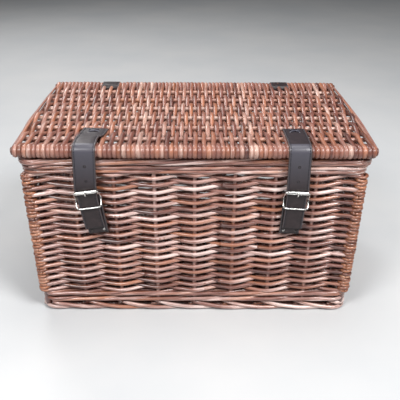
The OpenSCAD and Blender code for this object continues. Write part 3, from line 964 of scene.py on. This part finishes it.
def buckle_frame(side):
    """One bent wire: roller bar on top, sides in to the centre bar and out to the keeper."""
    mesh = Mesh()
    # one half of the wire, from the roller bar down to the keeper: across, up, out
    half = [(TOP_HALF - 2.5, ROLLER_UP, ROLLER_OUT), (TOP_HALF, ROLLER_UP - 0.4, ROLLER_OUT - 0.4),
            (TOP_HALF + 0.2, ROLLER_UP - 5, ROLLER_OUT * 0.62), (LOW_HALF, 2.2, 1.5),
            (LOW_HALF, 0, 0.6), (LOW_HALF, -2.2, 1.5), (LOW_HALF, -8, KEEPER_OUT * 0.62),
            (LOW_HALF - 0.2, -KEEPER_DOWN + 2.5, KEEPER_OUT - 0.8),
            (LOW_HALF - 3, -KEEPER_DOWN, KEEPER_OUT), (6, -KEEPER_DOWN, KEEPER_OUT)]
    other = [(-x, up, out) for x, up, out in half[::-1]]
    loop = rounded_loop([(0, ROLLER_UP, ROLLER_OUT)] + half + [(0, -KEEPER_DOWN, KEEPER_OUT)] + other)
    path = buckle_place(side, loop[:, 0], loop[:, 1], loop[:, 2])
    ahead = tangents(path, True)
    normal = path - path.mean(0)
    normal = unit(normal - (normal * ahead).sum(1)[:, None] * ahead)
    across = np.cross(ahead, normal)
    sides = 12
    a = np.arange(sides) * 2 * PI / sides
    ring = np.cos(a)[None, :, None] * normal[:, None] + np.sin(a)[None, :, None] * across[:, None]
    points = path[:, None] + FRAME_R * ring
    mesh.tube(path, points, np.full(len(path) * sides, 0.5), points / 10, True)
    bar = np.linspace(-LOW_HALF + 0.2, LOW_HALF - 0.2, 12)
    strand(mesh, buckle_place(side, bar, 0, 0.0), BAR_R, 0.5, sides=10)
    return mesh


def roller(side):
    """Tube on the frame's top bar, with rolled-in ends."""
    mesh = Mesh()
    half, r, bore = 15.9, 2.7, 1.62
    end = [(bore, -half), (1.95, -half), (2.3, -half + 0.5), (2.62, -half + 1.5),
           (r - 0.06, -half + 3.2), (r, -half + 5)]
    profile = end + [(r, 0)] + [(radius, -x) for radius, x in end[::-1]] + [(bore, -half)]
    axis = buckle_place(side, 1.0, 0, 0.0) - buckle_place(side, 0, 0, 0.0)
    lathe(mesh, buckle_place(side, 0, ROLLER_UP, ROLLER_OUT), axis, profile, 0.5, 24)
    return mesh


def tongue(side):
    """Eye round the centre bar, then a prong that comes through the strap onto the roller."""
    mesh = Mesh()
    a = np.linspace(0, 2 * PI, 21)[:-1]
    eye = buckle_place(side, 0, 1.95 * np.sin(a), 1.95 * np.cos(a))
    strand(mesh, eye, 0.62, 0.5, (1, 0, 0), sides=8, closed=True)
    knee, tip = (9.5, ROLLER_OUT + 3.6), (14.5, ROLLER_OUT + 4.6)
    line = through([(1.2, 1.5), (4.6, 6.0), knee, (12.2, tip[1] - 0.3), (tip[0] + 0.4, tip[1] - 0.1)], 5)
    n = len(line)
    path = buckle_place(side, 0, line[:, 0], line[:, 1])
    radius = np.interp(np.arange(n) / (n - 1), (0, 0.1, 0.75, 0.95, 1), (1.0, 1.0, 0.98, 0.85, 0.5))
    strand(mesh, path, radius, 0.5, (1, 0, 0), sides=10)
    return mesh


# ---------- materials ----------


class Shader:
    """A material's node tree, with short helpers."""

    def __init__(self, name):
        self.material = bpy.data.materials.new(name)
        self.material.use_nodes = True
        self.tree = self.material.node_tree
        self.surface = self.tree.nodes["Principled BSDF"]

    def node(self, kind, **values):
        made = self.tree.nodes.new("ShaderNode" + kind)
        for key, value in values.items():
            setattr(made, key, value)
        return made

    def link(self, source, target):
        self.tree.links.new(source, target)

    def attribute(self, name):
        return self.node("Attribute", attribute_name=name)

    def stretched(self, vector, scale):
        mapping = self.node("Mapping")
        mapping.inputs["Scale"].default_value = scale
        self.link(vector, mapping.inputs["Vector"])
        return mapping.outputs["Vector"]

    def noise(self, vector, scale, detail=4.0, rough=0.55):
        made = self.node("TexNoise")
        made.inputs["Scale"].default_value = scale
        made.inputs["Detail"].default_value = detail
        made.inputs["Roughness"].default_value = rough
        self.link(vector, made.inputs["Vector"])
        return made.outputs["Fac"]

    def math(self, operation, a, b, clamp=False):
        made = self.node("Math", operation=operation, use_clamp=clamp)
        for socket, value in zip(made.inputs, (a, b)):
            if isinstance(value, (int, float)):
                socket.default_value = value
            else:
                self.link(value, socket)
        return made.outputs[0]

    def ramp(self, value, stops):
        made = self.node("ValToRGB")
        elements = made.color_ramp.elements
        while len(elements) < len(stops):
            elements.new(0.5)
        for element, (place, colour) in zip(elements, stops):
            element.position = place
            element.color = (*colour, 1)
        self.link(value, made.inputs["Fac"])
        return made.outputs["Color"]

    def spread(self, value, low, high, to_low=0.0, to_high=1.0):
        made = self.node("MapRange")
        ends = {"From Min": low, "From Max": high, "To Min": to_low, "To Max": to_high}
        for name, number in ends.items():
            made.inputs[name].default_value = number
        self.link(value, made.inputs["Value"])
        return made.outputs["Result"]

    def tint(self, colour, value, amount, shade):
        """Mixes a shade into a colour where value is high."""
        made = self.node("Mix", data_type="RGBA", blend_type="MIX")
        self.link(self.math("MULTIPLY", value, amount, True), made.inputs["Factor"])
        self.link(colour, made.inputs["A"])
        made.inputs["B"].default_value = (*shade, 1)
        return made.outputs["Result"]

    def bump(self, height, strength, distance, under=None):
        made = self.node("Bump")
        made.inputs["Strength"].default_value = strength
        made.inputs["Distance"].default_value = distance
        self.link(height, made.inputs["Height"])
        if under is not None:
            self.link(under, made.inputs["Normal"])
        return made.outputs["Normal"]

    def finish(self, colour, rough=None, normal=None, **constants):
        """Connects the surface, sets its other values and returns the material."""
        for name, source in (("Base Color", colour), ("Roughness", rough), ("Normal", normal)):
            if source is not None:
                self.link(source, self.surface.inputs[name])
        for name, value in constants.items():
            self.surface.inputs[name.replace("_", " ").title().replace("Ior", "IOR")].default_value = value
        return self.material


def willow(name, stops, coat, rough=(0.30, 0.52)):
    """Steamed willow: streaks along the rod, patches, knots, and a waxy skin."""
    s = Shader(name)
    lay = s.attribute("lay").outputs["Vector"]
    tone = s.attribute("tone").outputs["Fac"]
    patch = s.noise(s.stretched(lay, (1.2, 1.2, 1.1)), 1.6, 3.0)
    streak = s.noise(s.stretched(lay, (9.0, 9.0, 0.8)), 1.5, 5.0, 0.6)
    fine = s.noise(s.stretched(lay, (30.0, 30.0, 1.6)), 1.4, 3.0)
    shade = s.math("ADD", tone, s.spread(patch, 0.3, 0.7, -0.2, 0.2))
    shade = s.math("ADD", shade, s.spread(streak, 0.3, 0.7, -0.16, 0.16), True)
    colour = s.ramp(shade, stops)
    warm = s.noise(s.stretched(lay, (0.3, 0.3, 0.21)), 1.0, 1.0)
    colour = s.tint(colour, s.spread(warm, 0.50, 0.68), 0.55, ORANGE)
    colour = s.tint(colour, s.spread(warm, 0.46, 0.30), 0.45, DARK_RED)
    colour = s.tint(colour, s.spread(fine, 0.5, 0.75), 0.35, stops[0][1])
    knot = s.noise(s.stretched(lay, (2.2, 2.2, 4.5)), 1.7, 1.0)
    colour = s.tint(colour, s.spread(knot, 0.70, 0.76), 0.75, KNOT_BROWN)
    gloss = s.spread(streak, 0.3, 0.7, *rough)
    normal = s.bump(streak, 0.4, 0.0005, s.bump(fine, 0.35, 0.00025))
    return s.finish(colour, gloss, normal, specular_ior_level=0.55, coat_weight=coat, coat_roughness=0.17)


def leather(name):
    """Dark bridle leather: pores, creases, a waxed face, a paler painted sheen where light reflects over
    the bend, browner cut edges, and dark thread and painted shade in the punched holes.
    """
    s = Shader(name)
    lay = s.attribute("lay").outputs["Vector"]
    tone = s.attribute("tone").outputs["Fac"]
    pores = s.node("TexVoronoi", feature="F1")
    pores.inputs["Scale"].default_value = 15.0
    s.link(lay, pores.inputs["Vector"])
    cells = pores.outputs["Distance"]
    crease = s.noise(s.stretched(lay, (0.5, 0.5, 5.0)), 1.6, 6.0, 0.6)
    cloud = s.noise(lay, 0.9, 3.0)
    shade = s.math("ADD", s.math("MULTIPLY", cloud, 0.6), s.math("MULTIPLY", crease, 0.4))
    colour = s.ramp(shade, HIDE_STOPS)
    # painted sheen: the reflection of light over the strap's bend, painted as a paler grey
    colour = s.tint(colour, s.spread(tone, 0.51, 0.68), 1.0, SHEEN_GREY)
    colour = s.tint(colour, s.spread(tone, 0.70, 0.92), 0.85, EDGE_BROWN)
    # near-black: the waxed thread's own colour, and painted shade in the punched holes
    colour = s.tint(colour, s.spread(tone, 0.22, 0.08), 0.9, THREAD_AND_HOLE_SHADE)
    gloss = s.spread(crease, 0.3, 0.7, 0.42, 0.60)
    normal = s.bump(crease, 0.3, 0.0004, s.bump(cells, 0.22, 0.0002))
    return s.finish(colour, gloss, normal, specular_ior_level=0.26, coat_weight=0.3, coat_roughness=0.26)


def nickel(name):
    """Bright nickel plate with fine rubbing marks, dulled patches, and darkened rivets: the outer rivet
    nearly black with painted shade.
    """
    s = Shader(name)
    lay = s.attribute("lay").outputs["Vector"]
    rub = s.noise(s.stretched(lay, (1.0, 8.0, 8.0)), 9.0, 4.0)
    dull = s.noise(lay, 2.6, 3.0)
    colour = s.ramp(dull, NICKEL_STOPS)
    tone = s.attribute("tone").outputs["Fac"]
    # darkens the rivets: nearly fully for the outer one, as painted shade, and half for the inner one
    colour = s.tint(colour, s.spread(tone, 0.3, 0.1), 0.95, RIVET_SHADE)
    gloss = s.spread(dull, 0.3, 0.7, 0.16, 0.34)
    return s.finish(colour, gloss, s.bump(rub, 0.08, 0.00006), metallic=1.0)


def waxed_thread(name):
    """Dark blue thread with its ply showing as a slight ripple."""
    s = Shader(name)
    lay = s.attribute("lay").outputs["Vector"]
    ply = s.noise(s.stretched(lay, (3.0, 3.0, 60.0)), 1.2, 2.0)
    colour = s.ramp(ply, THREAD_STOPS)
    gloss = s.spread(ply, 0.3, 0.7, 0.32, 0.5)
    return s.finish(colour, gloss, s.bump(ply, 0.5, 0.0003), coat_weight=0.3, coat_roughness=0.3)


# colours are linear; each ramp goes from dark to pale
ORANGE = (0.400, 0.140, 0.055)
DARK_RED = (0.115, 0.028, 0.020)
KNOT_BROWN = (0.035, 0.012, 0.008)
# painted reflection for the strap's bend
SHEEN_GREY = (0.054, 0.051, 0.064)
EDGE_BROWN = (0.040, 0.026, 0.022)
# thread colour, and painted shade in the punched holes
THREAD_AND_HOLE_SHADE = (0.010, 0.010, 0.014)
# rivet darkening; on the outer rivet it is painted shade
RIVET_SHADE = (0.045, 0.038, 0.036)
HIDE_STOPS = ((0.30, (0.009, 0.005, 0.006)), (0.55, (0.019, 0.011, 0.012)), (0.75, (0.034, 0.021, 0.022)))
NICKEL_STOPS = ((0.3, (0.50, 0.48, 0.45)), (0.55, (0.70, 0.69, 0.67)), (0.8, (0.80, 0.80, 0.79)))
THREAD_STOPS = ((0.3, (0.012, 0.012, 0.022)), (0.7, (0.050, 0.048, 0.070)))
FLOOR_STOPS = ((0.3, (0.42, 0.43, 0.44)), (0.7, (0.47, 0.47, 0.47)))
WALL_STOPS = ((0.05, (0.040, 0.010, 0.007)), (0.35, (0.125, 0.040, 0.027)), (0.60, (0.250, 0.112, 0.086)),
              (0.85, (0.450, 0.292, 0.258)), (1.0, (0.650, 0.500, 0.460)))
CORNER_STOPS = ((0.05, (0.060, 0.014, 0.008)), (0.35, (0.190, 0.062, 0.030)),
                (0.60, (0.330, 0.130, 0.065)),
                (0.85, (0.480, 0.240, 0.150)), (1.0, (0.620, 0.400, 0.300)))
LID_STOPS = ((0.05, (0.052, 0.013, 0.009)), (0.35, (0.134, 0.042, 0.028)), (0.60, (0.222, 0.086, 0.060)),
             (0.85, (0.300, 0.146, 0.110)), (1.0, (0.460, 0.300, 0.245)))

wall_willow = willow("willow_wall", WALL_STOPS, 0.9)
corner_willow = willow("willow_corner", CORNER_STOPS, 0.6)
lid_willow = willow("willow_lid", LID_STOPS, 0.45, (0.36, 0.58))
hide = leather("leather")
steel = nickel("nickel")
thread = waxed_thread("waxed_thread")

# ---------- pieces ----------


def piece(name, mesh, material, slot, body, *nodes):
    made = mesh.object(name, material)
    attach(made, body)
    if nodes:
        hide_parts(*nodes)


def bent_piece(name, mesh, material, slot, bodies, start, end, *nodes):
    made = mesh.object(name, material)
    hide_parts(*nodes)
    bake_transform(made)


for number, side in enumerate(("front", "right", "rear", "left")):
    piece(side + "_randing", wall(side, number % 2), wall_willow, "willow", "basket", side + "_weave")
    piece(side + "_stake_rods", stake_rods(side), wall_willow, "willow_dark", "basket", side + "_stakes")
for name, mesh, material, slot, node in (
        ("corner_post_rods", corner_posts(), wall_willow, "willow_dark", "corner_posts"),
        ("corner_turns", corner_wraps(), corner_willow, "willow", "corner_wraps"),
        ("bottom_waling", bottom_wale(), wall_willow, "willow", "bottom_wale"),
        ("top_waling", top_wale(), wall_willow, "willow", "top_wale"),
        ("rim_rods", rim_border(), wall_willow, "willow", "rim_border"),
        ("foot_rods", foot_border(), wall_willow, "willow", "foot_border")):
    piece(name, mesh, material, slot, "basket", node)
base_mesh, stick_mesh = base_parts()
piece("base_rods", base_mesh, wall_willow, "willow", "basket", "base_weave")
piece("base_stick_rods", stick_mesh, wall_willow, "willow_dark", "basket", "base_sticks")
piece("lid_weavers", lid_weave(), lid_willow, "willow", "lid", "lid_weave")
for name, mesh, node in (("lid_stick_rods", lid_sticks(), "lid_sticks"),
                         ("lid_front_edge_rod", edge_rod(FRONT_ROD[1]), "lid_front_rod"),
                         ("lid_rear_edge_rod", edge_rod(REAR_ROD[1]), "lid_rear_rod"),
                         ("lid_end_rods", lid_side_rods(), "lid_side_rods")):
    piece(name, mesh, lid_willow, "willow_dark", "lid", node)
piece("tab_thread", tab_stitches(), thread, "thread", "lid", "tab_stitches")
piece("rivets", chape_rivets(), steel, "steel", "basket", "chape_rivets")

# two heights on each rear loop, one by the basket and one by the lid
LOOP_FIXED_Z = 250.0
LOOP_MOVED_Z = 268.0

for side, word in ((-1, "left"), (1, "right")):
    x, y = STRAP_AT[side], YC - ROD_Y
    bent_piece("belt_" + word, strap(side), hide, "leather", ("lid", "strap_" + word),
               (x, y, LID_Z + BEND_R), (x, y - BEND_R, LID_Z), "strap_" + word)
    piece("belt_holes_" + word, punched_rings(side), hide, "leather", "strap_" + word)
    piece("buckle_tab_" + word, chape(side), hide, "leather", "basket", "chape_" + word)
    for part, make, body, node in (("wire_", buckle_frame, "buckle_", "buckle_frame_"),
                                   ("roller_", roller, "roller_", "roller_"),
                                   ("tongue_", tongue, "tongue_", "tongue_")):
        piece("buckle_" + part + word, make(side), steel, "steel", body + word, node + word)
    x, y = side * LOOP_X, YC + ROD_Y
    bent_piece("rear_loop_" + word, hinge_loop(side), hide, "leather", ("basket", "lid"),
               (x, y, LOOP_FIXED_Z), (x, y, LOOP_MOVED_Z), "hinge_loop_" + word)

# ---------- stage, light and camera, in metres ----------

LIGHTS = (("sky_right", (1.0, -1.15, 1.85), 0.9, 62), ("sky_left", (-0.9, -1.35, 1.75), 0.9, 42),
          ("sky_top", (0.1, 0.25, 2.2), 1.3, 23), ("sky_rear", (-0.9, 1.7, 1.6), 0.9, 20))
LIGHT_TARGET = Vector((0, 0, 0.10))
SKY_COLOUR = (0.93, 0.96, 1.0, 1)
SKY_STRENGTH = 0.09
LENS = 56.02
CAMERA_AT = (0.0018, -0.9497, 0.5974)
PITCH, YAW, ROLL = (math.radians(a) for a in (26.652, 0.423, 0.356))


def floor():
    s = Shader("pale_floor")
    cloud = s.noise(s.node("TexCoord").outputs["Object"], 3.0, 4.0)
    bpy.ops.mesh.primitive_plane_add(size=12, location=(0, 0, -0.0004))
    plane = bpy.context.object
    plane.name = "floor"
    plane.data.materials.append(s.finish(s.ramp(cloud, FLOOR_STOPS), roughness=0.75))


def soft_light(name, place, size, power):
    data = bpy.data.lights.new(name, "AREA")
    data.shape = "DISK"
    data.size = size
    data.energy = power
    lamp = into_scene(name, data)
    lamp.location = place
    lamp.rotation_euler = (LIGHT_TARGET - Vector(place)).to_track_quat("-Z", "Y").to_euler()


def dim_sky():
    world = bpy.data.worlds.new("studio")
    world.use_nodes = True
    background = world.node_tree.nodes["Background"]
    background.inputs["Color"].default_value = SKY_COLOUR
    background.inputs["Strength"].default_value = SKY_STRENGTH
    bpy.context.scene.world = world


def photo_camera():
    """A camera in front and above, looking down at the lid."""
    data = bpy.data.cameras.new("camera")
    data.sensor_width = 36.0
    data.lens = LENS
    camera = into_scene("camera", data)
    level_ahead = math.cos(PITCH)
    ahead = Vector((math.sin(YAW) * level_ahead, math.cos(YAW) * level_ahead, -math.sin(PITCH)))
    level = Vector((math.cos(YAW), -math.sin(YAW), 0))
    upward = level.cross(ahead)
    right = level * math.cos(ROLL) + upward * math.sin(ROLL)
    over = upward * math.cos(ROLL) - level * math.sin(ROLL)
    turn = Matrix((right, over, -ahead)).transposed().to_4x4()
    turn.translation = Vector(CAMERA_AT)
    camera.matrix_world = turn
    bpy.context.scene.camera = camera


floor()
for light in LIGHTS:
    soft_light(*light)
dim_sky()
bpy.context.scene.view_settings.view_transform = "Standard"
photo_camera()
